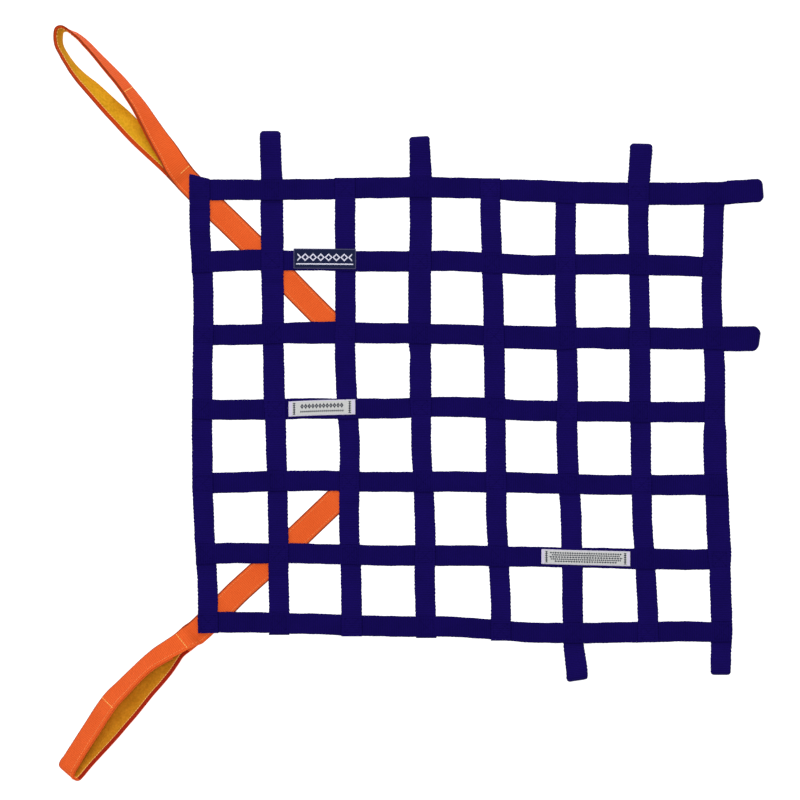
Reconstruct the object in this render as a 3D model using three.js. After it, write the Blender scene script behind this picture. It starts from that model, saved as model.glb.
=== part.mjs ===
import * as THREE from "three";

// Racing window net, laid flat with its face up. Sizes are in millimetres.
// "across" runs to the right and "down" towards the lower loop, from a datum at the upper left.
const MIDDLE = { across: 408.1, down: 403.4 };

const WEB = { width: 20, thick: 1.4 };
const GAP = 0.3;
const LAYER = WEB.thick + GAP;
// Half the length over which a strap stays level above the strap that it crosses.
const LEVEL = WEB.width / 2 + 2;
const EASE = 22;
// How far the ends of the straps stand out past the rims: above, below, and at both sides.
const UPPER_OVERHANG = [3.2, 1, 0.6, 1, 1, 0.8, 1, 0.6];
const LOWER_OVERHANG = [1, 2.3, 1.2, 1.5, 0.1, 1, 0.1, 1];
const SIDE_OVERHANG = 0.2;
// The strap end at the upper left corner is cut at a slant: how far, and over which length.
const SLANT = { by: 2.4, over: 9 };
const LONGEST_STEP = 11;
const SHORTEST_STEP = 1.5;
const EASE_SHARES = [0, 0.25, 0.5, 0.75, 1];
const FRAYED = { width: 0.35, drift: 0.3, widthWave: 36.6, driftWave: 61, widthTurn: 1.3, driftTurn: 2.1 };

const ORANGE = { width: 25, thick: 1.5 };
const LINING = { width: 17.6, thick: 1, start: 46 };
const LABEL_THICK = 1;

// The middle of each vertical strap, across: at the upper rim, in each cell, and at the lower rim.
const DOWN_AT = [189, 225, 299, 372, 446, 519, 592, 628];
const VERTICALS = [
  [200.1, 200.0, 203.3, 202.3, 202.2, 204.1, 208.1, 208.3],
  [272.0, 272.2, 273.1, 273.7, 276.5, 278.2, 278.9, 279.1],
  [345.0, 345.1, 345.3, 345.4, 349.6, 348.7, 351.6, 351.8],
  [421.1, 420.9, 419.6, 420.2, 421.4, 425.0, 425.1, 426.2],
  [490.0, 490.5, 493.1, 494.7, 496.1, 496.5, 500.1, 500.6],
  [565.7, 565.7, 565.5, 567.5, 567.1, 571.1, 572.5, 573.2],
  [638.0, 638.3, 639.8, 640.2, 641.1, 642.5, 647.2, 648.0],
  [714.0, 713.6, 711.6, 714.9, 715.0, 718.0, 720.5, 721.3],
];

// The middle of each horizontal strap, down: at the left rim, in each cell, and at the right rim.
const ACROSS_AT = [200, 236, 309, 383, 457, 530, 603, 677, 716];
const HORIZONTALS = [
  [189.8, 189.8, 189.2, 187.7, 188.1, 191.0, 193.2, 193.7, 193.3],
  [262.3, 260.2, 260.8, 261.8, 261.1, 264.8, 264.2, 265.9, 267.0],
  [335.3, 335.2, 332.8, 332.9, 334.2, 337.8, 338.4, 338.7, 338.8],
  [409.0, 409.7, 408.3, 408.6, 407.1, 410.8, 411.3, 411.9, 411.2],
  [483.4, 482.2, 480.9, 482.2, 481.6, 482.6, 484.6, 485.1, 485.2],
  [554.1, 553.1, 553.5, 555.8, 555.5, 556.9, 558.4, 559.5, 559.2],
  [622.0, 621.8, 623.5, 626.2, 627.2, 632.5, 632.5, 631.2, 631.5],
];

// Stretches where a strap is wider than the rest: from, to, and how much wider.
const WIDER = [
  { kind: "vertical", index: 2, from: 200, to: 330, height: 2.2 },
  { kind: "vertical", index: 4, from: 190, to: 380, height: 2.3 },
  { kind: "vertical", index: 7, from: 340, to: 395, height: 1 },
  { kind: "vertical", index: 8, from: 425, to: 550, height: 2.8 },
  { kind: "vertical", index: 8, from: 570, to: 640, height: 0.9 },
  { kind: "horizontal", index: 1, from: 520, to: 730, height: 1.9 },
  { kind: "horizontal", index: 3, from: 290, to: 340, height: 1.5 },
  { kind: "horizontal", index: 3, from: 505, to: 560, height: 3 },
  { kind: "horizontal", index: 3, from: 600, to: 730, height: 1.6 },
];

// Crossings that lie on an orange strap: the height it needs, and how far it reaches each way.
const UNDERLAID = [
  { v: 1, h: 1, height: 3.6, up: 60, down: 33, left: 60, right: 33 },
  { v: 2, h: 2, height: 1.8, up: 32, down: 32, left: 32, right: 32 },
  { v: 3, h: 3, height: 1.8, up: 32, down: 12, left: 34, right: 12 },
  { v: 3, h: 5, height: 1.8, up: 12, down: 34, left: 34, right: 12 },
  { v: 2, h: 6, height: 1.8, up: 32, down: 32, left: 32, right: 32 },
  { v: 1, h: 7, height: 3.6, up: 33, down: 60, left: 60, right: 33 },
];

// Tabs: the crossing on the rim, the side, the reach past it, the lean at the end, the slip of one layer.
const TABS = [
  { name: "tab_top_2", v: 2, h: 1, side: "top", reach: 58.4, lean: -0.8, slip: 0.9, width: 20 },
  { name: "tab_top_4", v: 4, h: 1, side: "top", reach: 51.6, lean: -1.1, slip: -0.7, width: 20 },
  { name: "tab_top_7", v: 7, h: 1, side: "top", reach: 49.3, lean: 2.8, slip: 0.8, width: 20.4 },
  { name: "tab_right_1", v: 8, h: 1, side: "right", reach: 49.1, lean: 3.1, slip: 1.2, width: 21.5 },
  { name: "tab_right_3", v: 8, h: 3, side: "right", reach: 47.2, lean: 0.1, slip: -1.1, width: 23.4 },
  { name: "tab_bottom_6", v: 6, h: 7, side: "bottom", reach: 49, lean: 3.8, slip: 0.8, width: 20.5 },
  { name: "tab_bottom_8", v: 8, h: 7, side: "bottom", reach: 43.2, lean: -1.1, slip: -0.9, width: 20.5 },
];
const EYE = { bend: 4.2, neck: 14, tail: 9, bendSteps: 6, slopeSteps: 7 };

// Orange straps behind the net: rows give the edge that lies lowest, its height, and the lean of the band.
// "toward" is the direction from the low edge to the high one in degrees, "rise" how much higher that is.
const DIAGONAL_UPPER = [
  { across: 349.0, down: 325.0, lift: -0.15, toward: 225, rise: 0 },
  { across: 315.0, down: 291.0, lift: -0.15, toward: 225, rise: 0 },
  { across: 279.9, down: 254.9, lift: -0.15, toward: 225, rise: 0 },
  { across: 236.5, down: 212.0, lift: -0.15, toward: 225, rise: 0 },
  { across: 227.0, down: 203.0, lift: 0.75, toward: 225, rise: 0 },
  { across: 218.4, down: 194.3, lift: 1.62, toward: 225, rise: 0 },
  { across: 206.8, down: 182.7, lift: 1.65, toward: 225, rise: 0 },
];
const DIAGONAL_LOWER = [
  { across: 339.7, down: 479.2, lift: -0.15, toward: -45, rise: 0 },
  { across: 304.0, down: 513.2, lift: -0.15, toward: -45, rise: 0 },
  { across: 268.7, down: 546.9, lift: -0.15, toward: -45, rise: 0 },
  { across: 228.0, down: 583.9, lift: -0.15, toward: -45, rise: 0 },
  { across: 218.8, down: 593.1, lift: 0.75, toward: -45, rise: 0 },
  { across: 209.6, down: 602.3, lift: 1.62, toward: -45, rise: 0 },
  { across: 198.5, down: 613.4, lift: 1.65, toward: -45, rise: 0 },
];

// Loops: out along the upper limb, round the tip and back along the lower limb.
const LOOP_UPPER = [
  { across: 206.4, down: 182.3, lift: 1.65, toward: 225, rise: 0 },
  { across: 195.3, down: 170.9, lift: 1.62, toward: 224, rise: 0 },
  { across: 190.0, down: 164.4, lift: 3.6, toward: 222, rise: 3 },
  { across: 185.4, down: 158.3, lift: 4.6, toward: 219, rise: 6 },
  { across: 176.5, down: 145.6, lift: 2.6, toward: 217, rise: 12 },
  { across: 166.1, down: 132.5, lift: 1.4, toward: 217, rise: 16 },
  { across: 155.8, down: 118.4, lift: 0.9, toward: 216, rise: 19 },
  { across: 145.8, down: 104.4, lift: 0.6, toward: 216, rise: 21 },
  { across: 135.0, down: 91.2, lift: 0.4, toward: 218, rise: 22.3 },
  { across: 123.9, down: 78.2, lift: 0.3, toward: 223, rise: 23 },
  { across: 111.9, down: 66.1, lift: 0.2, toward: 225, rise: 23.6 },
  { across: 99.8, down: 54.2, lift: 0.2, toward: 226, rise: 24.2 },
  { across: 87.8, down: 42.1, lift: 0.2, toward: 227, rise: 24.4 },
  { across: 76.9, down: 34.0, lift: 0.2, toward: 205, rise: 24.7 },
  { across: 70.4, down: 32.2, lift: 0.2, toward: 150, rise: 24.75 },
  { across: 66.2, down: 31.0, lift: 0.2, toward: 140, rise: 24.6 },
  { across: 63.2, down: 32.3, lift: 0.3, toward: 150, rise: 24.3 },
  { across: 62.4, down: 36.2, lift: 0.4, toward: 175, rise: 24.2 },
  { across: 62.8, down: 44.9, lift: 0.5, toward: 196, rise: 24.3 },
  { across: 68.6, down: 55.7, lift: 0.5, toward: 209, rise: 24.2 },
  { across: 76.6, down: 66.1, lift: 0.6, toward: 215, rise: 23.7 },
  { across: 86.6, down: 75.4, lift: 0.7, toward: 218, rise: 22.5 },
  { across: 97.8, down: 83.8, lift: 0.9, toward: 220, rise: 20.6 },
  { across: 108.4, down: 93.2, lift: 1.1, toward: 220, rise: 19.1 },
  { across: 118.5, down: 102.3, lift: 1.2, toward: 221, rise: 17.5 },
  { across: 128.9, down: 111.2, lift: 1.3, toward: 223, rise: 15.5 },
  { across: 138.7, down: 120.7, lift: 1.4, toward: 224, rise: 14.4 },
  { across: 148.7, down: 129.9, lift: 1.45, toward: 225, rise: 13.1 },
  { across: 159.1, down: 138.8, lift: 1.5, toward: 226, rise: 12 },
  { across: 170.0, down: 147.1, lift: 1.6, toward: 227, rise: 9 },
  { across: 181.0, down: 156.2, lift: 1.65, toward: 226, rise: 5.5 },
  { across: 191.0, down: 166.2, lift: 1.65, toward: 225, rise: 2 },
  { across: 198.5, down: 174.2, lift: 1.65, toward: 225, rise: 0 },
  { across: 216.5, down: 192.4, lift: 1.65, toward: 225, rise: 0 },
];
const LOOP_LOWER = [
  { across: 198.1, down: 613.8, lift: 1.65, toward: -45, rise: 0 },
  { across: 187.0, down: 624.1, lift: 1.65, toward: -45, rise: 0 },
  { across: 181.0, down: 628.8, lift: 3.8, toward: -47, rise: 10 },
  { across: 174.8, down: 634.3, lift: 4.8, toward: -49, rise: 14.6 },
  { across: 164.8, down: 641.2, lift: 3.6, toward: -52, rise: 16.6 },
  { across: 154.5, down: 648.2, lift: 2.0, toward: -53, rise: 18 },
  { across: 142.5, down: 658.4, lift: 1.0, toward: -48, rise: 20 },
  { across: 130.4, down: 669.9, lift: 0.8, toward: -46, rise: 20.2 },
  { across: 118.4, down: 681.4, lift: 0.8, toward: -45, rise: 19.5 },
  { across: 106.1, down: 693.2, lift: 0.8, toward: -41, rise: 18.6 },
  { across: 96.2, down: 706.4, lift: 0.8, toward: -36, rise: 18.2 },
  { across: 87.2, down: 720.5, lift: 0.8, toward: -33, rise: 18.2 },
  { across: 78.2, down: 734.5, lift: 0.8, toward: -33, rise: 18.3 },
  { across: 69.2, down: 748.5, lift: 0.8, toward: -33, rise: 18.2 },
  { across: 64.1, down: 756.3, lift: 0.8, toward: -34, rise: 17.6 },
  { across: 60.8, down: 760.7, lift: 0.8, toward: -35, rise: 16.8 },
  { across: 59.7, down: 764.4, lift: 0.8, toward: -36, rise: 16.2 },
  { across: 61.6, down: 767.0, lift: 0.9, toward: -36, rise: 16.0 },
  { across: 64.8, down: 767.4, lift: 1.0, toward: -36, rise: 16.0 },
  { across: 68.4, down: 764.2, lift: 1.1, toward: -37, rise: 16.0 },
  { across: 75.5, down: 755.4, lift: 1.2, toward: -40, rise: 15.8 },
  { across: 84.7, down: 744.2, lift: 1.3, toward: -43, rise: 15 },
  { across: 93.6, down: 733.4, lift: 1.4, toward: -43, rise: 13.8 },
  { across: 102.6, down: 722.6, lift: 1.4, toward: -42, rise: 12.8 },
  { across: 111.0, down: 711.6, lift: 1.45, toward: -41, rise: 11.4 },
  { across: 119.7, down: 701.1, lift: 1.45, toward: -41, rise: 10.8 },
  { across: 127.8, down: 690.9, lift: 1.45, toward: -39, rise: 10.6 },
  { across: 136.2, down: 679.7, lift: 1.45, toward: -40, rise: 9.4 },
  { across: 145.8, down: 669.2, lift: 1.45, toward: -41, rise: 10.0 },
  { across: 154.8, down: 658.4, lift: 1.45, toward: -41, rise: 10.2 },
  { across: 162.6, down: 648.3, lift: 1.5, toward: -43, rise: 11.5 },
  { across: 169.3, down: 639.9, lift: 1.5, toward: -46, rise: 12.6 },
  { across: 176.1, down: 633.0, lift: 1.55, toward: -47, rise: 10 },
  { across: 183.0, down: 626.0, lift: 1.6, toward: -46, rise: 5.5 },
  { across: 190.3, down: 621.2, lift: 1.65, toward: -45, rise: 0 },
  { across: 208.2, down: 603.7, lift: 1.65, toward: -45, rise: 0 },
];
const BAND_STEP = 7;
const FEWEST_STEPS = 3;

// Labels: the horizontal strap under each, its ends across, and its shift and size down.
const LABELS = [
  { name: "label_navy", h: 2, from: 293.6, to: 356, shift: -2.2, depth: 20.2, turn: -0.4 },
  { name: "label_pale_left", h: 4, from: 288.6, to: 355.3, shift: -0.6, depth: 15.2, turn: -2.2 },
  { name: "label_pale_right", h: 6, from: 541.4, to: 630, shift: -0.4, depth: 14.8, turn: 0.6 },
];
const LABEL_EASE = 12;

const NAVY = { color: "#150b53", roughness: 0.85 };
const CORNER_ORANGE = { color: "#ea6227", roughness: 0.75 };
const OCHRE = { color: "#d6901e", roughness: 0.9 };
const LABEL_NAVY = { color: "#202a52", roughness: 0.7 };
const LABEL_PALE = { color: "#d9d8e2", roughness: 0.7 };

const root = new THREE.Group();

function place(across, down, height) {
  return new THREE.Vector3(across - MIDDLE.across, MIDDLE.down - down, height);
}

// The smooth curve through the values, read at any place along: a cubic in each stretch, whose
// slopes run from the value before to the value after.
function through(places, values, at) {
  const last = places.length - 1;
  const before = places.findLastIndex((place) => place <= at);
  const i = THREE.MathUtils.clamp(before, 0, last - 1);
  const slope = (k) => {
    const [low, high] = [Math.max(k - 1, 0), Math.min(k + 1, last)];
    return (values[high] - values[low]) / (places[high] - places[low]);
  };
  if (at < places[0]) return values[0] + slope(0) * (at - places[0]);
  if (at > places[last]) return values[last] + slope(last) * (at - places[last]);
  const span = places[i + 1] - places[i];
  const t = (at - places[i]) / span;
  const bend = t * t * (3 - 2 * t);
  const leave = span * slope(i) * t * (1 - t) ** 2;
  const arrive = span * slope(i + 1) * t * t * (t - 1);
  return values[i] * (1 - bend) + values[i + 1] * bend + leave + arrive;
}

const verticalAt = (v, down) => through(DOWN_AT, VERTICALS[v - 1], down);
const horizontalAt = (h, across) => through(ACROSS_AT, HORIZONTALS[h - 1], across);

// Where vertical strap v and horizontal strap h cross.
function crossing(v, h) {
  let across = verticalAt(v, MIDDLE.down);
  let down = MIDDLE.down;
  for (let pass = 0; pass < 4; pass += 1) {
    down = horizontalAt(h, across);
    across = verticalAt(v, down);
  }
  return { across, down };
}

// A strap runs over every second strap that it crosses, and the next strap the other way about.
const verticalOver = (v, h) => (v + h) % 2 === 0;

// The rises of a strap: level from one place to another, and eased down to the surface on both sides.
function risesOf(kind, index) {
  const vertical = kind === "vertical";
  const rises = [];
  const count = vertical ? HORIZONTALS.length : VERTICALS.length;
  for (let other = 1; other <= count; other += 1) {
    const v = vertical ? index : other;
    const h = vertical ? other : index;
    const at = vertical ? crossing(v, h).down : crossing(v, h).across;
    const under = UNDERLAID.find((row) => row.v === v && row.h === h);
    const tab = TABS.find((row) => row.v === v && row.h === h);
    const over = verticalOver(v, h) === vertical;
    const tabIsVertical = tab && tab.side !== "right";
    const tabOver = tab && verticalOver(v, h) === tabIsVertical;
    const base = under ? under.height : 0;
    if (under) {
      const before = vertical ? under.up : under.left;
      const after = vertical ? under.down : under.right;
      rises.push({ from: at - before, to: at + after, height: base });
    }
    let height = base;
    if (over) height += tab ? 2 * LAYER : LAYER;
    else if (tabOver) height += LAYER;
    const atCorner = under && under.height > 2 * LAYER;
    const before = over && atCorner && h === 1 ? under.up : LEVEL;
    const after = over && atCorner && h === HORIZONTALS.length ? under.down : LEVEL;
    if (height > base) rises.push({ from: at - before, to: at + after, height });
  }
  return rises;
}

function heightOver(rises, at, ease = EASE) {
  let height = 0;
  for (const rise of rises) {
    const past = Math.max(rise.from - at, at - rise.to, 0);
    if (past < ease) {
      height = Math.max(height, rise.height * 0.5 * (1 + Math.cos((Math.PI * past) / ease)));
    }
  }
  return height;
}

// Places along a strap: closer where it rises and falls.
function stationsAlong(from, to, rises, ease = EASE) {
  const wanted = [from, to];
  for (const rise of rises) {
    for (const share of EASE_SHARES) {
      wanted.push(rise.from - share * ease, rise.to + share * ease);
    }
  }
  wanted.sort((a, b) => a - b);
  const kept = [from];
  for (const at of wanted) {
    const last = kept[kept.length - 1];
    if (at <= last + SHORTEST_STEP || at > to - SHORTEST_STEP) continue;
    const parts = Math.ceil((at - last) / LONGEST_STEP);
    for (let i = 1; i <= parts; i += 1) kept.push(last + ((at - last) * i) / parts);
  }
  const last = kept[kept.length - 1];
  const parts = Math.max(1, Math.ceil((to - last) / LONGEST_STEP));
  for (let i = 1; i <= parts; i += 1) kept.push(last + ((to - last) * i) / parts);
  return kept;
}

// A closed body through a row of four-cornered sections, capped at both ends.
function sweep(sections) {
  const corners = sections.flat();
  const index = [];
  const quad = (a, b, c, d) => index.push(a, b, c, a, c, d);
  const last = 4 * (sections.length - 1);
  for (let row = 0; row < last; row += 4) {
    for (let side = 0; side < 4; side += 1) {
      const next = (side + 1) % 4;
      quad(row + side, row + next, row + 4 + next, row + 4 + side);
    }
  }
  quad(3, 2, 1, 0);
  quad(last, last + 1, last + 2, last + 3);
  let volume = 0;
  for (let i = 0; i < index.length; i += 3) {
    const [a, b, c] = [0, 1, 2].map((k) => corners[index[i + k]]);
    volume += a.dot(new THREE.Vector3().crossVectors(b, c));
  }
  if (volume < 0) index.reverse();
  return new THREE.BufferGeometry().setFromPoints(corners).setIndex(index);
}

function add(name, geometry, look) {
  geometry.computeVertexNormals();
  const material = new THREE.MeshStandardMaterial({ ...look, metalness: 0, flatShading: true });
  const mesh = new THREE.Mesh(geometry, material);
  mesh.name = name;
  root.add(mesh);
}

// A woven strap is never quite even: its middle drifts and its width changes a little.
const drift = (seed, at) =>
  FRAYED.drift * Math.sin(at / FRAYED.driftWave + FRAYED.driftTurn * seed);
const uneven = (seed, at) =>
  FRAYED.width * Math.sin(at / FRAYED.widthWave + FRAYED.widthTurn * seed);

function strap(kind, index, from, to) {
  const vertical = kind === "vertical";
  const rises = risesOf(kind, index);
  const seed = vertical ? index : index + 0.5;
  const wider = WIDER.filter((row) => row.kind === kind && row.index === index);
  const slanted = vertical && index === 1;
  const sections = stationsAlong(from, to, rises).map((at) => {
    const height = heightOver(rises, at);
    const middle = (vertical ? verticalAt(index, at) : horizontalAt(index, at)) + drift(seed, at);
    const half = (WEB.width + uneven(seed, at) + heightOver(wider, at)) / 2;
    const slant = slanted ? SLANT.by * Math.max(0, 1 - (at - from) / SLANT.over) : 0;
    const corner = (side, up) => {
      const aside = middle + side * half;
      const along = at + side * slant;
      return vertical ? place(aside, along, height + up) : place(along, aside, height + up);
    };
    return [corner(-1, 0), corner(1, 0), corner(1, WEB.thick), corner(-1, WEB.thick)];
  });
  return sweep(sections);
}

// Where a strap stops: flush with the rim strap, or where its tab takes over.
function endOf(tab, own, rim, outward, overhang) {
  if (!tab) return rim + outward * (WEB.width / 2 + overhang);
  return own ? rim + outward * LEVEL : rim - outward * (GAP / 2);
}

for (let v = 1; v <= VERTICALS.length; v += 1) {
  const first = crossing(v, 1).down;
  const last = crossing(v, HORIZONTALS.length).down;
  const tabFirst = TABS.find((row) => row.v === v && row.side === "top");
  const tabLast = TABS.find((row) => row.v === v && row.side === "bottom");
  const from = endOf(tabFirst, verticalOver(v, 1), first, -1, UPPER_OVERHANG[v - 1]);
  const lastOver = verticalOver(v, HORIZONTALS.length);
  const to = endOf(tabLast, lastOver, last, 1, LOWER_OVERHANG[v - 1]);
  add(`strap_vertical_${v}`, strap("vertical", v, from, to), NAVY);
}

for (let h = 1; h <= HORIZONTALS.length; h += 1) {
  const first = crossing(1, h).across;
  const last = crossing(VERTICALS.length, h).across;
  const tab = TABS.find((row) => row.h === h && row.side === "right");
  const from = endOf(null, false, first, -1, SIDE_OVERHANG);
  const to = endOf(tab, !verticalOver(VERTICALS.length, h), last, 1, SIDE_OVERHANG);
  add(`strap_horizontal_${h}`, strap("horizontal", h, from, to), NAVY);
}

const ease = (share) => 0.5 * (1 - Math.cos(Math.PI * share));

// The side view of a tab, from the strap it continues, round the eye and back: out, up and layer.
function tabProfile(tab, over) {
  const half = WEB.thick / 2;
  const end = tab.reach - half - EYE.bend;
  const top = half + 2 * EYE.bend;
  const neck = (over ? 2 : 1) * LAYER + half;
  const slope = [];
  const start = over ? LEVEL + GAP : EYE.neck;
  for (let i = 0; i <= EYE.slopeSteps; i += 1) {
    const share = i / EYE.slopeSteps;
    slope.push({ out: start + (end - start) * share, up: neck + (top - neck) * ease(share), layer: 1 });
  }
  const bend = [];
  for (let i = 1; i < EYE.bendSteps; i += 1) {
    const turn = (Math.PI * i) / EYE.bendSteps;
    const out = end + EYE.bend * Math.sin(turn);
    bend.push({ out, up: half + EYE.bend * (1 + Math.cos(turn)), layer: 1 - i / EYE.bendSteps });
  }
  const bottom = [end, (end + EYE.neck) / 2, EYE.neck].map((out) => ({ out, up: half, layer: 0 }));
  if (over) return [...slope, ...bend, ...bottom, { out: -EYE.tail, up: half, layer: 0 }];
  const tail = { out: -EYE.tail, up: neck, layer: 1 };
  const joint = { out: GAP / 2, up: half, layer: 0 };
  return [tail, ...slope, ...bend, ...bottom, joint];
}

for (const tab of TABS) {
  const vertical = tab.side !== "right";
  const over = verticalOver(tab.v, tab.h) === vertical;
  const outward = tab.side === "top" ? -1 : 1;
  const rim = crossing(tab.v, tab.h);
  const profile = tabProfile(tab, over);
  const sections = profile.map((point, i) => {
    const before = profile[Math.max(i - 1, 0)];
    const after = profile[Math.min(i + 1, profile.length - 1)];
    const along = new THREE.Vector2(after.out - before.out, after.up - before.up).normalize();
    const share = Math.max(0, point.out) / tab.reach;
    const aside = tab.lean * ease(share) + tab.slip * (point.layer - 0.5) * share;
    const corner = (side, face) => {
      const out = point.out - face * along.y * (WEB.thick / 2);
      const up = point.up + face * along.x * (WEB.thick / 2);
      const wide = aside + (side * tab.width) / 2;
      const far = (vertical ? rim.down : rim.across) + outward * out;
      return vertical ? place(rim.across + wide, far, up) : place(far, rim.down - wide, up);
    };
    return [corner(-1, -1), corner(1, -1), corner(1, 1), corner(-1, 1)];
  });
  add(tab.name, sweep(sections), NAVY);
}

const bandPoint = ({ edge, across, outer }, wide, off) =>
  edge.clone().addScaledVector(across, wide).addScaledVector(outer, off);

// Lifts a frame whose band would reach below the surface that it lies on.
function settled(frame) {
  const off = GAP / 2 + ORANGE.thick;
  const lowest = Math.min(bandPoint(frame, 0, off).z, bandPoint(frame, ORANGE.width, off).z);
  const side = Math.min(bandPoint(frame, 0, GAP / 2).z, bandPoint(frame, ORANGE.width, GAP / 2).z);
  frame.edge.z += Math.max(0, -lowest, -side);
  return frame;
}

// The inner face of a band at even steps along its rows: low edge, the way across it, and outer side.
function bandFrames(rows) {
  const edges = rows.map((row) => place(row.across, row.down, row.lift));
  const leans = rows.map((row) => new THREE.Vector3(row.toward, row.rise, 0));
  const low = new THREE.CatmullRomCurve3(edges, false, "centripetal");
  const lean = new THREE.CatmullRomCurve3(leans, false, "centripetal");
  const shares = [];
  for (let row = 0; row < rows.length - 1; row += 1) {
    const length = Math.hypot(
      rows[row + 1].across - rows[row].across,
      rows[row + 1].down - rows[row].down,
    );
    const parts = Math.max(FEWEST_STEPS, Math.ceil(length / BAND_STEP));
    for (let part = 0; part < parts; part += 1) {
      shares.push((row + part / parts) / (rows.length - 1));
    }
  }
  shares.push(1);
  return shares.map((share) => {
    const edge = low.getPoint(share);
    const { x: toward, y: climb } = lean.getPoint(share);
    const rise = THREE.MathUtils.clamp(climb, 0, ORANGE.width);
    const level = Math.sqrt(ORANGE.width ** 2 - rise ** 2);
    const angle = THREE.MathUtils.degToRad(toward);
    const across = new THREE.Vector3(level * Math.cos(angle), level * Math.sin(angle), rise).normalize();
    const outer = new THREE.Vector3().crossVectors(low.getTangent(share), across).normalize();
    return settled({ edge, across, outer });
  });
}

// One layer of a band: from one distance to another off its inner face, between two places across it.
function bandLayer(frames, near, far, from, to) {
  return sweep(frames.map((frame) => [
    bandPoint(frame, from, near),
    bandPoint(frame, to, near),
    bandPoint(frame, to, far),
    bandPoint(frame, from, far),
  ]));
}

// The part of a band that is at least so far along it from both ends.
function inside(frames, margin) {
  const along = [0];
  frames.slice(1).forEach((frame, i) => along.push(along[i] + frame.edge.distanceTo(frames[i].edge)));
  const total = along[along.length - 1];
  return frames.filter((frame, i) => along[i] >= margin && along[i] <= total - margin);
}

// The orange layer of a band, off the outer side of its frames.
const orangeLayer = (frames) =>
  bandLayer(frames, GAP / 2, GAP / 2 + ORANGE.thick, 0, ORANGE.width);

for (const [name, rows] of [["upper", DIAGONAL_UPPER], ["lower", DIAGONAL_LOWER]]) {
  add(`diagonal_${name}`, orangeLayer(bandFrames(rows)), CORNER_ORANGE);
}

const inset = (ORANGE.width - LINING.width) / 2;
for (const [name, rows] of [["upper", LOOP_UPPER], ["lower", LOOP_LOWER]]) {
  const frames = bandFrames(rows);
  add(`loop_${name}`, orangeLayer(frames), CORNER_ORANGE);
  const lined = inside(frames, LINING.start);
  const skin = bandLayer(lined, -GAP / 2, -GAP / 2 - LINING.thick, inset, inset + LINING.width);
  add(`lining_${name}`, skin, OCHRE);
}

for (const label of LABELS) {
  const rises = risesOf("horizontal", label.h);
  const onStrap = (at) => heightOver(rises, at) + LAYER;
  // A vertical strap that runs over this one lies under the label.
  const bumps = [];
  for (let v = 1; v <= VERTICALS.length; v += 1) {
    const at = crossing(v, label.h).across;
    if (verticalOver(v, label.h) && at > label.from && at < label.to) {
      bumps.push({ from: at - LEVEL, to: at + LEVEL, height: 2 * LAYER });
    }
  }
  const middle = (label.from + label.to) / 2;
  const stations = stationsAlong(label.from, label.to, [...rises, ...bumps], LABEL_EASE);
  const sections = stations.map((at) => {
    const height = Math.max(onStrap(at), heightOver(bumps, at, LABEL_EASE));
    const share = (at - middle) / (label.to - label.from);
    const centre = horizontalAt(label.h, at) + label.shift + label.turn * share;
    const corner = (side, up) => place(at, centre + (side * label.depth) / 2, height + up);
    return [corner(-1, 0), corner(1, 0), corner(1, LABEL_THICK), corner(-1, LABEL_THICK)];
  });
  add(label.name, sweep(sections), label.name === "label_navy" ? LABEL_NAVY : LABEL_PALE);
}

export default root;
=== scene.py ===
# %% [markdown]
# # A racing window net, strap by strap
#
# The net closes the side window of a race car. Fifteen navy straps are woven over and under
# each other, seven of them end in eyes for a rod, and two orange pull loops are sewn to the
# corners on the left. We lay it flat and look straight down on it, as a shop photograph does.
# Every strap is a surface worked out from a few named sizes, in millimetres.

# %% Load the frame
import math

import bpy
import numpy as np
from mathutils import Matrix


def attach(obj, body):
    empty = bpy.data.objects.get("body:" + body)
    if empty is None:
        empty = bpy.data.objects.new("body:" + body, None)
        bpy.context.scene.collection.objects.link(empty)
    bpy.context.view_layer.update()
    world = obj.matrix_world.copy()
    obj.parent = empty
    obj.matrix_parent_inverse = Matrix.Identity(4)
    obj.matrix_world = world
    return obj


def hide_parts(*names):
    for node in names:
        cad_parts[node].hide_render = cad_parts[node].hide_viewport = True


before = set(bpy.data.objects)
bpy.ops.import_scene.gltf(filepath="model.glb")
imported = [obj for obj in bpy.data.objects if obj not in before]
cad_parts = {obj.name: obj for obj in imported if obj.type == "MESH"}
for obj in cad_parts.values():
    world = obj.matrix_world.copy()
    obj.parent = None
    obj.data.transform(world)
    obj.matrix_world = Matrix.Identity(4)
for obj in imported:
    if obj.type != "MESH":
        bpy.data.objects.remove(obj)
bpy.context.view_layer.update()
MM = 0.001

# %% [markdown]
# ## The camera
#
# The camera hangs five metres above the net with a long lens, so that the straps stay
# parallel and one millimetre on the net is one pixel in the picture.

# %% Camera
VIEW_MIDDLE = (-0.0081, 0.0034)
VIEW_WIDTH = 0.8
VIEW_HEIGHT = 5.0

camera = bpy.data.objects.new("camera", bpy.data.cameras.new("camera"))
bpy.context.scene.collection.objects.link(camera)
camera.data.sensor_width = 36
camera.data.lens = camera.data.sensor_width * VIEW_HEIGHT / VIEW_WIDTH
camera.data.clip_end = 50
camera.location = (*VIEW_MIDDLE, VIEW_HEIGHT)
bpy.context.scene.camera = camera
bpy.context.scene.view_settings.view_transform = "Standard"
print("camera", tuple(camera.location), "lens", round(camera.data.lens, 1), "mm")

# %% [markdown]
# ## The light
#
# The light is soft: a bright sky all round, a wide lamp above the camera that reaches into
# the loops, and one beyond the upper rim. That one grazes the ribs of the straps that run down
# the picture and hardly marks the others, which is why the two sets of straps look different
# although their webbing is the same. The straps across also get a slightly darker copy of that
# webbing, which is painted shade.


# %% Light
def lamp(name, place, turn, width, power):
    """A wide soft lamp at a place, turned by degrees about X and Y."""
    data = bpy.data.lights.new(name, "AREA")
    data.shape = "SQUARE"
    data.size = width
    data.energy = power
    made = bpy.data.objects.new(name, data)
    made.location = place
    made.rotation_euler = [math.radians(v) for v in turn]
    bpy.context.scene.collection.objects.link(made)
    return made


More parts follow.
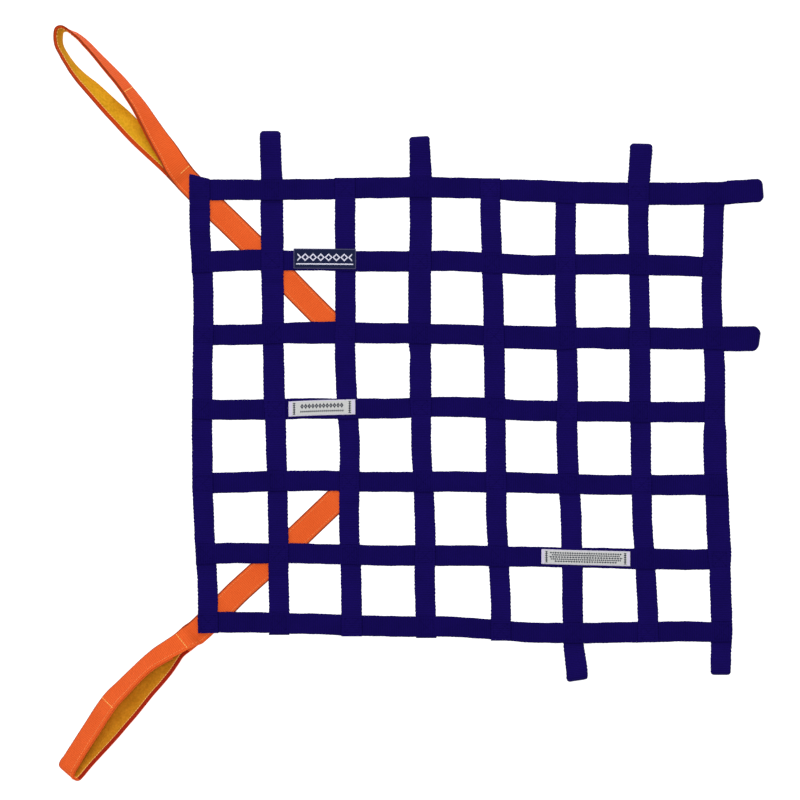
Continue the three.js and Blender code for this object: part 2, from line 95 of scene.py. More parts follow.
lamp("lamp_front", (0.0, 0.0, 6.0), (0, 0, 0), 2.4, 183)
lamp("lamp_upper", (-0.3, 2.6, 2.2), (-48, -6, 0), 1.8, 40)
lamp("lamp_side", (-2.4, -0.6, 2.0), (8, -48, 0), 1.6, 6)
world = bpy.data.worlds.new("studio")
world.use_nodes = True
world.node_tree.nodes["Background"].inputs["Color"].default_value = (1, 1, 1, 1)
world.node_tree.nodes["Background"].inputs["Strength"].default_value = 0.36
bpy.context.scene.world = world
print("three lamps and a white sky")

# %% [markdown]
# ## The materials
#
# A material is a small sum written on sockets. The class below wraps a socket, so that
# `ribs * 0.5 + yarns` adds its own Math nodes and the formulas stay readable. Each ribbon
# carries an attribute called `lay`: how far across it and how far along it a point lies, in
# millimetres. A weave read from it follows the strap round every bend.


# %% Sums on sockets
class Wire:
    """A value that runs through a material. Operators on it add Math nodes."""

    def __init__(self, finish, socket):
        self.finish = finish
        self.socket = socket

    def sum(self, operation, *others):
        """One Math node of that operation."""
        values = {i: v for i, v in enumerate(others)}
        return self.finish.add("ShaderNodeMath", {"operation": operation}, values)

    def __add__(self, other):
        return self.sum("ADD", self, other)

    def __mul__(self, other):
        return self.sum("MULTIPLY", self, other)

    def __sub__(self, other):
        return self.sum("SUBTRACT", self, other)

    def __rsub__(self, other):
        return self.sum("SUBTRACT", other, self)

    def __truediv__(self, other):
        return self.sum("DIVIDE", self, other)

    __radd__ = __add__
    __rmul__ = __mul__

    def over(self, edge):
        """1 where the value is over the edge, else 0."""
        return self.sum("GREATER_THAN", self, edge)

    def under(self, edge):
        """1 where the value is under the edge, else 0."""
        return self.sum("LESS_THAN", self, edge)

    def size(self):
        """The value without its sign."""
        return self.sum("ABSOLUTE", self)

    def wave(self, length, turn=0.0):
        """From 0 to 1 and back over each length: half of 1 plus the cosine."""
        angle = self * (2 * math.pi / length) + turn
        return self.sum("COSINE", angle) * 0.5 + 0.5

    def within(self, length):
        """The place inside each repeat of that length, from 0 to the length."""
        return self.sum("FLOORED_MODULO", self, length)


class Finish:
    """A material whose nodes are added by one method."""

    def __init__(self, name, roughness, specular):
        self.material = bpy.data.materials.new(name)
        self.material.use_nodes = True
        self.tree = self.material.node_tree
        self.shader = self.tree.nodes["Principled BSDF"]
        self.shader.inputs["Roughness"].default_value = roughness
        self.shader.inputs["Specular IOR Level"].default_value = specular

    def add(self, kind, settings=None, values=None, out=0):
        """A node of that type, its settings first, then its sockets' values or links."""
        node = self.tree.nodes.new(kind)
        for key, value in (settings or {}).items():
            setattr(node, key, value)
        for key, value in (values or {}).items():
            if isinstance(value, Wire):
                self.tree.links.new(value.socket, node.inputs[key])
            else:
                node.inputs[key].default_value = value
        return Wire(self, node.outputs[out])

    def lay(self):
        """Across and along the ribbon, in millimetres."""
        spot = self.add("ShaderNodeAttribute", {"attribute_name": "lay"}, out="Vector")
        parts = {"Vector": spot}
        across = self.add("ShaderNodeSeparateXYZ", {}, parts, out="X")
        along = self.add("ShaderNodeSeparateXYZ", {}, parts, out="Y")
        return across, along

    def noise(self, scale, detail):
        """Soft cloud values from 0 to 1, at that many a metre, on the object's own place."""
        spot = self.add("ShaderNodeTexCoord", out="Object")
        values = {"Vector": spot, "Scale": scale, "Detail": detail}
        return self.add("ShaderNodeTexNoise", {}, values)

    def mix(self, share, low, high):
        """One colour where the share is 0 and the other where it is 1."""
        values = {0: share, 6: low, 7: high}
        return self.add("ShaderNodeMix", {"data_type": "RGBA"}, values, out=2)

    def paint(self, colour, roughness=None, height=None, depth=0.0):
        """Feeds the shader: a colour, a roughness and a relief that many metres deep."""
        self.tree.links.new(colour.socket, self.shader.inputs["Base Color"])
        if roughness is not None:
            self.tree.links.new(roughness.socket, self.shader.inputs["Roughness"])
        if height is not None:
            values = {"Height": height, "Distance": depth, "Strength": 1.0}
            bump = self.add("ShaderNodeBump", {}, values)
            self.tree.links.new(bump.socket, self.shader.inputs["Normal"])
        return self.material


def tint(red, green, blue):
    """A screen colour from 0 to 255 as the linear colour that Blender reckons with."""
    share = np.array([red, green, blue]) / 255
    linear = np.where(share <= 0.04045, share / 12.92, ((share + 0.055) / 1.055) ** 2.4)
    return (*[float(v) for v in linear], 1.0)


print("material tools ready")

# %% [markdown]
# ## Webbing
#
# Webbing is a thick narrow weave. Its weft yarns turn back at the selvedge and stand out as
# ribs 1.8 mm apart, and the fine warp yarns cross them. We draw the ribs as the peaks of a
# cosine along the strap, set the warp at right angles, and let every second rib lift the
# other half of the warp, which is what a plain weave does. The colour follows the ribs too:
# darker in the valleys and lighter on the crowns, which is painted shade and highlight.

# %% Navy and orange webbing
RIB = 1.8
YARN = 1.0


def webbing(name, dark, light, roughness, specular, rim=None, rim_at=0.0, both=1):
    """Ribs times warp, from a dark colour in the valleys, painted shade, to a light one on the
    crowns, painted highlight, with clouds of random tone. Farther from the middle than rim_at,
    the colour turns to a darker one that paints the shade on the sides of the band, at both
    edges or only at the low one."""
    finish = Finish(name, roughness, specular)
    across, along = finish.lay()
    ribs = along.wave(RIB)
    odd = along.within(2 * RIB).over(RIB)
    warp = across.wave(YARN, 0.0) * (1 - odd) + across.wave(YARN, math.pi) * odd
    weave = ribs * 0.65 + warp * 0.35
    cloud = finish.noise(34.0, 4.0)
    fibre = finish.noise(900.0, 2.0)
    share = weave * 0.55 + cloud * 0.35 + fibre * 0.25 - 0.12
    # Painted shade in the rib valleys and painted highlight on the crowns, with random tone from
    # the noise.
    colour = finish.mix(share, dark, light)
    # Painted shade on the sides of the band, at both edges or only at the low one.
    if rim:
        edge = across.under(-rim_at) + across.over(rim_at) * both
        colour = finish.mix(edge * (0.7 + fibre * 0.3), colour, rim)
    rough = roughness - 0.08 + fibre * 0.16
    return finish.paint(colour, rough, weave * 0.8 + fibre * 0.2, 0.00022)


navy = webbing("navy_webbing", tint(6, 2, 55), tint(26, 8, 104), 0.72, 0.04)
# The straps across: a slightly darker copy of the same navy webbing, painted shade.
navy_across = webbing("navy_across", tint(5, 2, 52), tint(24, 8, 98), 0.76, 0.035)
# The last two: a darker colour from 11.1 mm out from the middle, painted shade on the sides of
# the orange band.
ORANGES = (tint(206, 70, 20), tint(243, 110, 50), 0.7, 0.06, tint(134, 52, 24), 11.1)
orange = webbing("orange_webbing", *ORANGES)
# The lower loop's band: that painted shade at its low edge only.
orange_lower = webbing("orange_lower", *ORANGES, 0)
# The hems: a darker orange than the band, painted shade on that side of the webbing; the second
# is darker still, deeper painted shade.
hem = webbing("orange_hem", tint(178, 52, 14), tint(214, 78, 26), 0.75, 0.04)
hem_shaded = webbing("orange_hem_shaded", tint(140, 26, 12), tint(178, 44, 22), 0.75, 0.04)
print("webbing:", navy.name, navy_across.name, orange.name, hem.name, hem_shaded.name)

# %% [markdown]
# ## Lining and thread
#
# The loops are lined with a soft ochre cloth, brushed so that no weave shows: two sizes of
# noise give its pile. The sewing thread is a plain twist, drawn as fine slanting stripes.


# %% Lining and thread
def brushed(name, dark, light):
    """Cloudy, mottled colour and a short pile: two coarser noises for the colour and a fine
    one for the relief."""
    finish = Finish(name, 0.92, 0.04)
    cloud = finish.noise(60.0, 4.0)
    mottle = finish.noise(420.0, 2.0)
    pile = finish.noise(1500.0, 3.0)
    colour = finish.mix(cloud * 0.5 + mottle * 0.8 + pile * 0.4 - 0.35, dark, light)
    return finish.paint(colour, None, pile, 0.0004)


def thread(name, dark, light, specular):
    """A twisted thread: stripes a fifth of a millimetre wide that slant across it."""
    finish = Finish(name, 0.6, specular)
    across, along = finish.lay()
    twist = (along + across).wave(0.4)
    colour = finish.mix(twist, dark, light)
    return finish.paint(colour, None, twist, 0.00005)


ochre = brushed("ochre_lining", tint(178, 122, 8), tint(246, 190, 46))
# The lower loop's lining: a darker, redder copy of the same cloth, painted shade.
ochre_shaded = brushed("ochre_lining_shaded", tint(160, 97, 6), tint(222, 148, 38))
navy_thread = thread("navy_thread", tint(8, 3, 60), tint(26, 9, 100), 0.02)
gold_thread = thread("gold_thread", tint(255, 172, 76), tint(255, 212, 126), 0.1)
orange_thread = thread("orange_thread", tint(238, 116, 54), tint(255, 170, 104), 0.1)
print("lining and thread:", ochre.name, navy_thread.name, gold_thread.name)

# %% [markdown]
# ## Floor
#
# The floor isn't part of the net. It is a wide pale sheet just under it, and it glows a little,
# as the light table of a product photographer does, so that hardly any shadow falls on it.


# %% Floor
def floor_finish():
    """Nearly white paper with a trace of cloud, lit a little from below."""
    finish = Finish("floor_paper", 0.9, 0.1)
    finish.shader.inputs["Emission Color"].default_value = (1, 1, 1, 1)
    finish.shader.inputs["Emission Strength"].default_value = 0.8
    cloud = finish.noise(3.0, 2.0)
    return finish.paint(finish.mix(cloud, (0.5, 0.5, 0.51, 1), (0.54, 0.54, 0.54, 1)))


FLOOR, FLOOR_DROP = 4.0, 0.0003
SQUARE = np.array([(-1, -1), (1, -1), (1, 1), (-1, 1)])
floor_mesh = bpy.data.meshes.new("floor")
floor_mesh.from_pydata([(x, y, -FLOOR_DROP) for x, y in SQUARE * FLOOR], [], [(0, 1, 2, 3)])
floor = bpy.data.objects.new("floor", floor_mesh)
floor.data.materials.append(floor_finish())
bpy.context.scene.collection.objects.link(floor)
print("floor", 2 * FLOOR, "m wide")

# %% [markdown]
# ## Sizes of the webbing
#
# All navy straps are cut from one roll. A hair of air stays between two layers, so that no
# strap cuts into another, and a strap that climbs stays level a little past the edge of the one
# under it.

# %% Sizes in millimetres
# The middle of the net in the plan, across and down: the frame has its origin there.
MIDDLE = (408.1, 403.4)
WEB_WIDTH, WEB_THICK = 20.0, 1.4
GAP = 0.3
LAYER = WEB_THICK + GAP
LEVEL = WEB_WIDTH / 2 + 2
EASE = 22.0
# How far a strap without a tab runs on past the edge of the last one that it crosses.
UPPER_OVERHANG = [3.2, 1, 0.6, 1, 1, 0.8, 1, 0.6]
LOWER_OVERHANG = [1, 2.3, 1.2, 1.5, 0.1, 1, 0.1, 1]
SIDE_OVERHANG = 0.2
# The slanting cut at the upper end of the first strap down, and how long it takes to fade.
SLANT, SLANT_OVER = 2.4, 9.0
print("webbing", WEB_WIDTH, "mm wide, layers", LAYER, "mm apart")

# %% [markdown]
# ## The plan of the net
#
# The net was stitched by hand and eye, so no strap is quite straight. An Array modifier on one
# straight strap would be quicker, but it would look like a printed grid. Each row below gives
# the middle of one strap at a few places down or across the net instead, so that a smooth curve
# can run through them.

# %% Middle lines
DOWN_AT = [189, 225, 299, 372, 446, 519, 592, 628]
VERTICALS = [
    [200.1, 200.0, 203.3, 202.3, 202.2, 204.1, 208.1, 208.3],
    [271.6, 271.8, 272.7, 274.0, 276.5, 278.1, 278.6, 279.0],
    [345.0, 345.3, 345.8, 345.6, 349.4, 348.9, 351.6, 351.8],
    [421.1, 421.0, 419.3, 420.2, 421.4, 425.2, 425.1, 426.2],
    [490.0, 490.5, 493.1, 494.7, 496.1, 496.5, 500.1, 500.6],
    [565.7, 565.7, 565.7, 567.5, 566.8, 570.8, 572.6, 573.2],
    [638.8, 638.4, 639.4, 639.5, 640.8, 642.6, 647.1, 648.0],
    [714.0, 713.3, 711.5, 714.9, 715.1, 717.8, 720.4, 721.3],
]
ACROSS_AT = [200, 236, 309, 383, 457, 530, 603, 677, 716]
HORIZONTALS = [
    [189.8, 189.8, 189.2, 187.7, 188.1, 191.0, 193.2, 193.6, 192.9],
    [262.3, 260.4, 260.8, 261.8, 261.1, 264.7, 264.0, 265.9, 268.1],
    [335.3, 335.2, 332.8, 332.9, 334.2, 337.8, 338.4, 338.7, 338.8],
    [409.0, 409.7, 408.3, 408.6, 407.1, 410.8, 411.3, 411.9, 411.2],
    [483.4, 482.2, 480.9, 482.2, 481.6, 482.6, 484.6, 485.1, 485.2],
    [554.1, 553.4, 553.6, 555.2, 555.3, 556.9, 558.4, 559.5, 559.2],
    [622.0, 621.8, 623.5, 626.2, 627.2, 632.5, 632.5, 631.2, 631.5],
]
print("net plan:", len(VERTICALS), "straps down,", len(HORIZONTALS), "across")

# %% [markdown]
# ## What differs from strap to strap
#
# Worn webbing spreads in places, some crossings lie on an orange strap, and seven straps end in
# a tab with an eye. One row for each keeps them all in sight, and the same few functions read
# them.

# %% Wide stretches, raised crossings and tabs
# Stretches where a strap is wider than the rest: from, to, and how much wider.
WIDER = {
    ("vertical", 2): [(200, 330, 2.2), (355, 405, 0.9)],
    ("vertical", 3): [(215, 300, 0.4)],
    ("vertical", 4): [(190, 338, 2.4), (372, 398, 1.5)],
    ("vertical", 5): [(345, 400, 0.9)],
    ("vertical", 6): [(285, 610, 0.7)],
    ("vertical", 7): [(340, 395, 1.0)],
    ("vertical", 8): [(438, 550, 3.3), (570, 640, 0.8)],
    ("horizontal", 1): [(285, 385, 0.7), (520, 706, 1.9)],
    ("horizontal", 2): [(215, 255, 0.8)],
    ("horizontal", 3): [(215, 255, 0.5), (304, 340, 1.4), (505, 560, 2.9), (610, 730, 1.6)],
    ("horizontal", 4): [(605, 705, 0.5)],
    ("horizontal", 7): [(215, 330, 0.5)],
}
# Crossings that lie on an orange strap: vertical, horizontal, height, up, down, left, right.
UNDERLAID = [
    (1, 1, 3.6, 60, 33, 60, 33),
    (2, 2, 1.8, 32, 32, 32, 32),
    (3, 3, 1.8, 32, 12, 34, 12),
    (3, 5, 1.8, 12, 34, 34, 12),
    (2, 6, 1.8, 32, 32, 32, 32),
    (1, 7, 3.6, 33, 60, 60, 33),
]
# Tabs: the crossing they start from, the side they leave on, their reach past its middle, how
# far the eye lies aside, how far its lower layer slips from the upper, the width, the slant of
# the end and the radius of its rounded corners.
TABS = {
    "tab_top_2": (2, 1, "top", 58.6, -1.6, 0.9, 19.6, 0.0, 3.0),
    "tab_top_4": (4, 1, "top", 51.1, -1.2, -0.7, 20.0, -0.5, 2.5),
    "tab_top_7": (7, 1, "top", 49.9, 2.4, 0.8, 21.1, 0.2, 2.5),
    "tab_right_1": (8, 1, "right", 49.1, 2.4, 1.2, 21.6, 0.5, 5.0),
    "tab_right_3": (8, 3, "right", 46.4, 0.1, -1.1, 23.6, -0.8, 6.5),
    "tab_bottom_6": (6, 7, "bottom", 47.7, 4.0, 0.8, 20.0, -1.2, 2.5),
    "tab_bottom_8": (8, 7, "bottom", 43.2, -1.4, -0.9, 19.4, 0.0, 2.5),
}
print("tabs:", len(TABS), "and crossings on an orange strap:", len(UNDERLAID))

# %% [markdown]
# ## Curves through the plan
#
# A curve through measured places has to pass them all without swinging out between them. Short
# cubics do that, each fitted to its own stretch. Where two straps cross, one lies on the other:
# they take turns, as in a basket.


# %% Middle lines as curves
def through(places, values, at):
    """The smooth curve through the values: in each stretch a cubic, whose slopes at both ends
    run from the value before to the value after. Past the ends it goes on straight."""
    places, values = np.array(places, float), np.array(values, float)
    last = len(places) - 1
    low = np.clip(np.arange(last + 1) - 1, 0, last)
    high = np.clip(np.arange(last + 1) + 1, 0, last)
    slope = (values[high] - values[low]) / (places[high] - places[low])
    inner = np.clip(at, places[0], places[last])
    i = np.clip(np.searchsorted(places, inner, side="right") - 1, 0, last - 1)
    span = places[i + 1] - places[i]
    t = (inner - places[i]) / span
    bend = t * t * (3 - 2 * t)
    curve = (values[i] * (1 - bend) + values[i + 1] * bend
             + span * slope[i] * t * (1 - t) ** 2 + span * slope[i + 1] * t * t * (t - 1))
    return curve + np.where(at < places[0], slope[0], slope[last]) * (at - inner)


def middle_of(kind, index, at):
    """The middle of a strap, across its length, at places along it."""
    if kind == "vertical":
        return through(DOWN_AT, VERTICALS[index - 1], at)
    return through(ACROSS_AT, HORIZONTALS[index - 1], at)


def crossing(v, h):
    """Where two straps cross: each middle line read in turn until they agree."""
    across, down = MIDDLE
    for _ in range(5):
        across = middle_of("vertical", v, down)
        down = middle_of("horizontal", h, across)
    return float(across), float(down)


def vertical_over(v, h):
    """Whether the strap down lies on top: where the sum of the two numbers is even."""
    return (v + h) % 2 == 0


print("the first straps cross at", [round(value, 1) for value in crossing(1, 1)])

# %% [markdown]
# ## How high a strap lies
#
# Webbing is stiff. Where it climbs over another strap it stays level for a few millimetres
# past the edge and then eases down in a long slope. We write every climb as a plateau with a
# cosine slope at each end, and the strap follows the highest of them.


# %% Heights
def tab_at(v, h, side):
    """The name of the tab at a crossing and side, or None."""
    for name, tab in TABS.items():
        if (tab[0], tab[1]) == (v, h) and tab[2] in side:
            return name
    return None


def rises_of(kind, index):
    """The plateaus of a strap: from, to and height of each. The height is that of the orange
    strap below, and one layer more for each navy one."""
    vertical = kind == "vertical"
    rises = []
    for other in range(1, len(HORIZONTALS if vertical else VERTICALS) + 1):
        v, h = (index, other) if vertical else (other, index)
        at = crossing(v, h)[1 if vertical else 0]
        under = next((row for row in UNDERLAID if row[:2] == (v, h)), None)
        over = vertical_over(v, h) == vertical
        tab = tab_at(v, h, ("top", "bottom", "right"))
        cross = tab_at(v, h, ("right",) if vertical else ("top", "bottom"))
        base = under[2] if under else 0.0
        if under:
            before, after = (under[3], under[4]) if vertical else (under[5], under[6])
            rises.append((at - before, at + after, base))
        height = base
        if over:
            height += 2 * LAYER if tab else LAYER
        elif cross:
            height += LAYER
        corner = under and base > 2 * LAYER
        before = under[3] if over and corner and h == 1 else LEVEL
        after = under[4] if over and corner and h == len(HORIZONTALS) else LEVEL
        if height > base:
            rises.append((at - before, at + after, height))
    return rises


def height_over(rises, at, ease=EASE):
    """The highest of the plateaus: top times half of one plus the cosine of the way down."""
    height = np.zeros_like(at)
    for low, high, top in rises:
        past = np.clip(np.maximum(low - at, at - high), 0, ease)
        height = np.maximum(height, top * 0.5 * (1 + np.cos(np.pi * past / ease)))
    return height


print("strap 1 down climbs to", max(r[2] for r in rises_of("vertical", 1)), "mm")

# %% [markdown]
# ## The side view of a tab
#
# Seven straps run on past the rim, turn round a gap for the rod and come back under the rim or
# over it. In side view that is a slope, half a circle and a straight run. A bent plane would
# pinch the webbing in the turn, but a path with a section carried along it keeps it even.

# %% Tab path
EYE_BEND, EYE_NECK, EYE_TAIL = 4.2, 14.0, 9.0


def ease_in(share):
    """From 0 to 1 by half of one minus the cosine."""
    return 0.5 * (1 - np.cos(np.pi * np.clip(share, 0, 1)))


def tab_path(reach, over):
    """Distance past the rim, height and layer of a tab's middle line. It climbs by a half
    cosine to the top of the eye, goes round half a circle and comes back level."""
    half = WEB_THICK / 2
    end = reach - half - EYE_BEND
    top = half + 2 * EYE_BEND
    neck = (2 if over else 1) * LAYER + half
    start = LEVEL if over else EYE_NECK
    share = np.linspace(0, 1, 80)
    slope = np.stack([start + (end - start) * share, neck + (top - neck) * ease_in(share),
                      np.ones_like(share)])
    turn = np.linspace(0, np.pi, 40)[1:-1]
    bend = np.stack([end + EYE_BEND * np.sin(turn), half + EYE_BEND * (1 + np.cos(turn)),
                     1 - turn / np.pi])
    back = np.linspace(end, -EYE_TAIL if over else 0.0, 60)
    bottom = np.stack([back, np.full_like(back, half), np.zeros_like(back)])
    if over:
        return np.concatenate([slope, bend, bottom], axis=1)
    tail = np.stack([[-EYE_TAIL, 0.0], [neck, neck], [1.0, 1.0]])
    return np.concatenate([tail, slope, bend, bottom], axis=1)[:, ::-1]


print("tab path of", tab_path(TABS["tab_top_2"][3], False).shape[1], "points")

# %% [markdown]
# ## A ribbon
#
# Every flat band here is the same kind of surface: a thin rounded section carried along a
# path. The section is a closed ring of sixteen points, and each row of the grid is that ring
# set into the frame of the path there. The ribs are cut a tenth of a millimetre deep into both
# faces, and the selvedge waves with them.

# %% Ribbon mesh
SECTION_TOP = [(-1, 0.0), (-0.965, 0.72), (-0.84, 0.97), (-0.42, 0.96), (0, 1.0),
               (0.42, 0.96), (0.84, 0.97), (0.965, 0.72), (1, 0.0)]
SECTION = np.array(SECTION_TOP + [(c, -o) for c, o in SECTION_TOP[-2:0:-1]])
EDGE_PULL = 1.2


def closed_grid(rows, ring):
    """Quads of a grid of rings, and one face on each open end."""
    row = np.arange(rows - 1)[:, None] * ring
    spot = np.arange(ring)[None, :]
    follow = (spot + 1) % ring
    quads = np.stack([row + spot, row + follow, row + ring + follow, row + ring + spot], -1)
    ends = [list(range(ring))[::-1], list(range((rows - 1) * ring, rows * ring))]
    return quads.reshape(-1, 4).tolist() + ends


def make_mesh(name, points, faces, lay, material):
    """An object at the origin from points in millimetres. The faces are turned round where
    the signed volume of the whole is negative."""
    mesh = bpy.data.meshes.new(name)
    mesh.from_pydata((points * MM).tolist(), [], faces)
    mesh.update()
    tri = np.array([f[:3] for f in faces if len(f) == 4])
    a, b, c = (points[tri[:, k]] for k in range(3))
    if np.einsum("ij,ij->", a, np.cross(b, c)) < 0:
        mesh.flip_normals()
    mesh.attributes.new("lay", "FLOAT_VECTOR", "POINT")
    flat = np.concatenate([lay, np.zeros((len(lay), 1))], axis=1)
    mesh.attributes["lay"].data.foreach_set("vector", flat.astype(np.float32).ravel())
    mesh.shade_smooth()
    mesh.materials.append(material)
    made = bpy.data.objects.new(name, mesh)
    bpy.context.scene.collection.objects.link(made)
    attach(made, "root")
    return made


def ribbon(name, middle, across, outer, along, half, thick, ribs, material):
    """middle + across times the section's width + outer times its thickness, for every row.
    Ribs lower both faces by their depth times half of one minus the cosine. Nothing reaches
    under the floor."""
    rows = len(middle)
    wave = 0.5 * (1 - np.cos(2 * np.pi * along / RIB))
    drawn_in = EDGE_PULL * ribs * wave[:, None]
    wide = half[:, None] * SECTION[:, 0] - drawn_in * np.sign(SECTION[:, 0])
    off = SECTION[:, 1] * (thick / 2 - ribs * wave[:, None])
    points = (middle[:, None, :] + across[:, None, :] * wide[..., None]
              + outer[:, None, :] * off[..., None])
    points[..., 2] = np.maximum(points[..., 2], 0)
    lay = np.stack([wide, np.repeat(along[:, None], len(SECTION), axis=1)], -1)
    return make_mesh(name, points.reshape(-1, 3), closed_grid(rows, len(SECTION)),
                     lay.reshape(-1, 2), material)


def spaced(step, *values):
    """The values at even steps of the length of the line that the first two make."""
    line = np.stack(values[:2])
    length = np.concatenate([[0], np.cumsum(np.hypot(*np.diff(line, axis=1)))])
    keep = np.concatenate([[True], np.diff(length) > 1e-9])
    count = int(np.ceil(length[-1] / step)) + 1
    at = np.linspace(0, length[-1], count)
    return at, [np.interp(at, length[keep], value[keep]) for value in values]


print("a section has", len(SECTION), "points")

# %% [markdown]
# ## The side view of a strap
#
# A strap and its tab are one length of webbing, so they are one piece here although the solids
# under them are two. We string their side views together. Each point of them has a place along
# the net and a height, how far it lies aside, how much wider the webbing is there, how far out
# on a tab it is as a share, and how much it slants.

# %% Side view
PATH_POINTS = 1200


def strap_ends(kind, index):
    """For both ends of a strap: the middle of the last strap it crosses, the way out, whether
    it lies on top there, its tab's name or None, and where its own stretch stops."""
    vertical = kind == "vertical"
    count = len(HORIZONTALS if vertical else VERTICALS)
    sides = ("top", "bottom") if vertical else ("left", "right")
    overhangs = (UPPER_OVERHANG[index - 1], LOWER_OVERHANG[index - 1]) if vertical else (
        SIDE_OVERHANG, SIDE_OVERHANG)
    ends = []
    for other, outward, side, overhang in zip((1, count), (-1, 1), sides, overhangs):
        v, h = (index, other) if vertical else (other, index)
        rim = crossing(v, h)[1 if vertical else 0]
        over = vertical_over(v, h) == vertical
        name = tab_at(v, h, (side,))
        reach = WEB_WIDTH / 2 + overhang
        if name:
            reach = LEVEL if over else 0.0
        ends.append((rim, outward, over, name, rim + outward * reach))
    return ends


def tab_rows(rim, outward, over, name):
    """The rows of a tab. It lies aside by the half cosine of its share. At the end it gets
    narrower by the arc of a circle, which rounds the two corners."""
    reach, lean, slip, width, slant, corner = TABS[name][3:]
    out, up, layer = tab_path(reach, over)
    share = np.maximum(out, 0) / reach
    gone = ease_in(share)
    aside = lean * gone + slip * (layer - 0.5) * share
    deep = np.clip(corner - (reach - WEB_THICK / 2 - out), 0, corner)
    more = ((width - WEB_WIDTH) * ease_in(out / EYE_NECK)
            - 2 * (corner - np.sqrt(corner ** 2 - deep ** 2)))
    rows = np.stack([rim + outward * out, up, aside, more, gone, slant * gone])
    return rows if outward > 0 else rows[:, ::-1]


def side_view(kind, index, ends):
    """The rows of the strap's own stretch, with those of its tabs joined on."""
    at = np.linspace(ends[0][-1], ends[1][-1], PATH_POINTS)
    up = height_over(rises_of(kind, index), at) + WEB_THICK / 2
    own = np.stack([at, up] + [np.zeros_like(at)] * 4)
    first, last = ([tab_rows(*end[:4])] if end[3] else [] for end in ends)
    return np.concatenate(first + [own] + last, axis=1)


print("side view of strap 2 down:", side_view("vertical", 2, strap_ends("vertical", 2)).shape)

# %% [markdown]
# ## The line and the width of a strap
#
# Real webbing is never quite even. A Displace modifier could roughen it, but it would push the
# faces and leave the line of the strap as it is. We space the points of the side view evenly
# along the webbing and add waves to the middle line and the width there: slow ones make the
# strap drift and swell, and short ones make its edges shiver, as ribs of thread do.

# %% Lines of a strap
# Slow waves of a strap along the net: how far in millimetres, a radian's length, turn a strap.
DRIFT, DRIFT_WAVE, DRIFT_TURN = 0.3, 61.0, 2.1
UNEVEN, WIDTH_WAVE, WIDTH_TURN = 0.35, 36.6, 1.3
# Short waves along the webbing, of its middle and of its half width: how far, then for each
# ripple a radian's length and the turn a strap, and for each fray the radians in a millimetre
# and the turn a strap.
RIPPLE = 0.16
MIDDLE_RIPPLE = (9.7, 4)
WIDTH_RIPPLES = ((4.3, 5), (2.6, 7))
FRAY = {"vertical": 0.13, "horizontal": 0.05}
MIDDLE_FRAY, WIDTH_FRAY = (1.9, 1), (1.45, 3)
# What the rounded edge of the section takes from the width that one sees.
FULLER = 0.32
STRAP_STEP = {"vertical": RIB / 4, "horizontal": RIB / 3}


def strap_lines(kind, index, ends):
    """Place along the webbing and along the net, height, middle line, half width and slant of
    a strap at even steps. Sine waves are added to its middle line and its half width."""
    seed = index if kind == "vertical" else index + 0.5
    rows = side_view(kind, index, ends)
    along, (at, up, aside, more, gone, slant) = spaced(STRAP_STEP[kind], *rows)
    rims = [end[0] if end[3] else end[1] * 1e9 for end in ends]
    inner = np.clip(at, *rims)
    centre = middle_of(kind, index, inner) + (aside if kind == "vertical" else -aside)
    centre = centre + DRIFT * np.sin(inner / DRIFT_WAVE + DRIFT_TURN * seed)
    centre = centre + RIPPLE * np.sin(along / MIDDLE_RIPPLE[0] + MIDDLE_RIPPLE[1] * seed)
    centre = centre + FRAY[kind] * np.sin(along * MIDDLE_FRAY[0] + MIDDLE_FRAY[1] * seed)
    wider = height_over(WIDER.get((kind, index), []), inner) * (1 - gone)
    uneven = UNEVEN * np.sin(inner / WIDTH_WAVE + WIDTH_TURN * seed)
    half = (WEB_WIDTH + uneven + more + wider) / 2
    half = half + RIPPLE * sum(np.sin(along / wave + turn * seed)
                               for wave, turn in WIDTH_RIPPLES) / 2
    half = half + FRAY[kind] * np.sin(along * WIDTH_FRAY[0] + WIDTH_FRAY[1] * seed)
    return along, at, up, centre, half, slant


print("strap 1 down:", len(strap_lines("vertical", 1, strap_ends("vertical", 1))[0]), "rows")

# %% [markdown]
# ## The navy straps
#
# To set the section across a strap, one has to know which way it runs. The differences between
# neighbouring points of the side view say so, and the same turned by a right angle points out
# of the webbing. So the section turns with the strap, also round the eye of a tab.

# %% Straps
RIB_DEPTH = {"vertical": 0.11, "horizontal": 0.07}
lengths = {}


def place(across, down, height):
    """A point of the plan as a point of the frame, in millimetres."""
    spot = np.broadcast_arrays(across - MIDDLE[0], MIDDLE[1] - down, height)
    return np.stack(spot, -1).astype(float)


def strap(kind, index, material):
    """One strap: across runs level, turned by the slant, and outwards is the side view's
    direction turned by a right angle."""
    ends = strap_ends(kind, index)
    along, at, up, centre, half, slant = strap_lines(kind, index, ends)
    step_at, step_up = np.gradient(at), np.gradient(up)
    size = np.hypot(step_at, step_up)
    lean_at, lean_up = -step_up / size, step_at / size
    zero = np.zeros_like(at)
    if kind == "vertical":
        cut = SLANT * np.maximum(0, 1 - (at - ends[0][-1]) / SLANT_OVER) * (index == 1)
        middle = place(centre, at, up)
        across = np.stack([zero + 1, -(slant + cut) / half, zero], -1)
        outer = np.stack([zero, -lean_at, lean_up], -1)
    else:
        middle = place(at, centre, up)
        across = np.stack([slant / half, zero - 1, zero], -1)
        outer = np.stack([lean_at, zero, lean_up], -1)
    made = ribbon(f"webbing_{kind}_{index}", middle, across, outer, along, half + FULLER,
                  WEB_THICK, RIB_DEPTH[kind], material)
    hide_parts(f"strap_{kind}_{index}", *[end[3] for end in ends if end[3]])
    along[-1] * MM
    lengths[made.name] = along[-1]


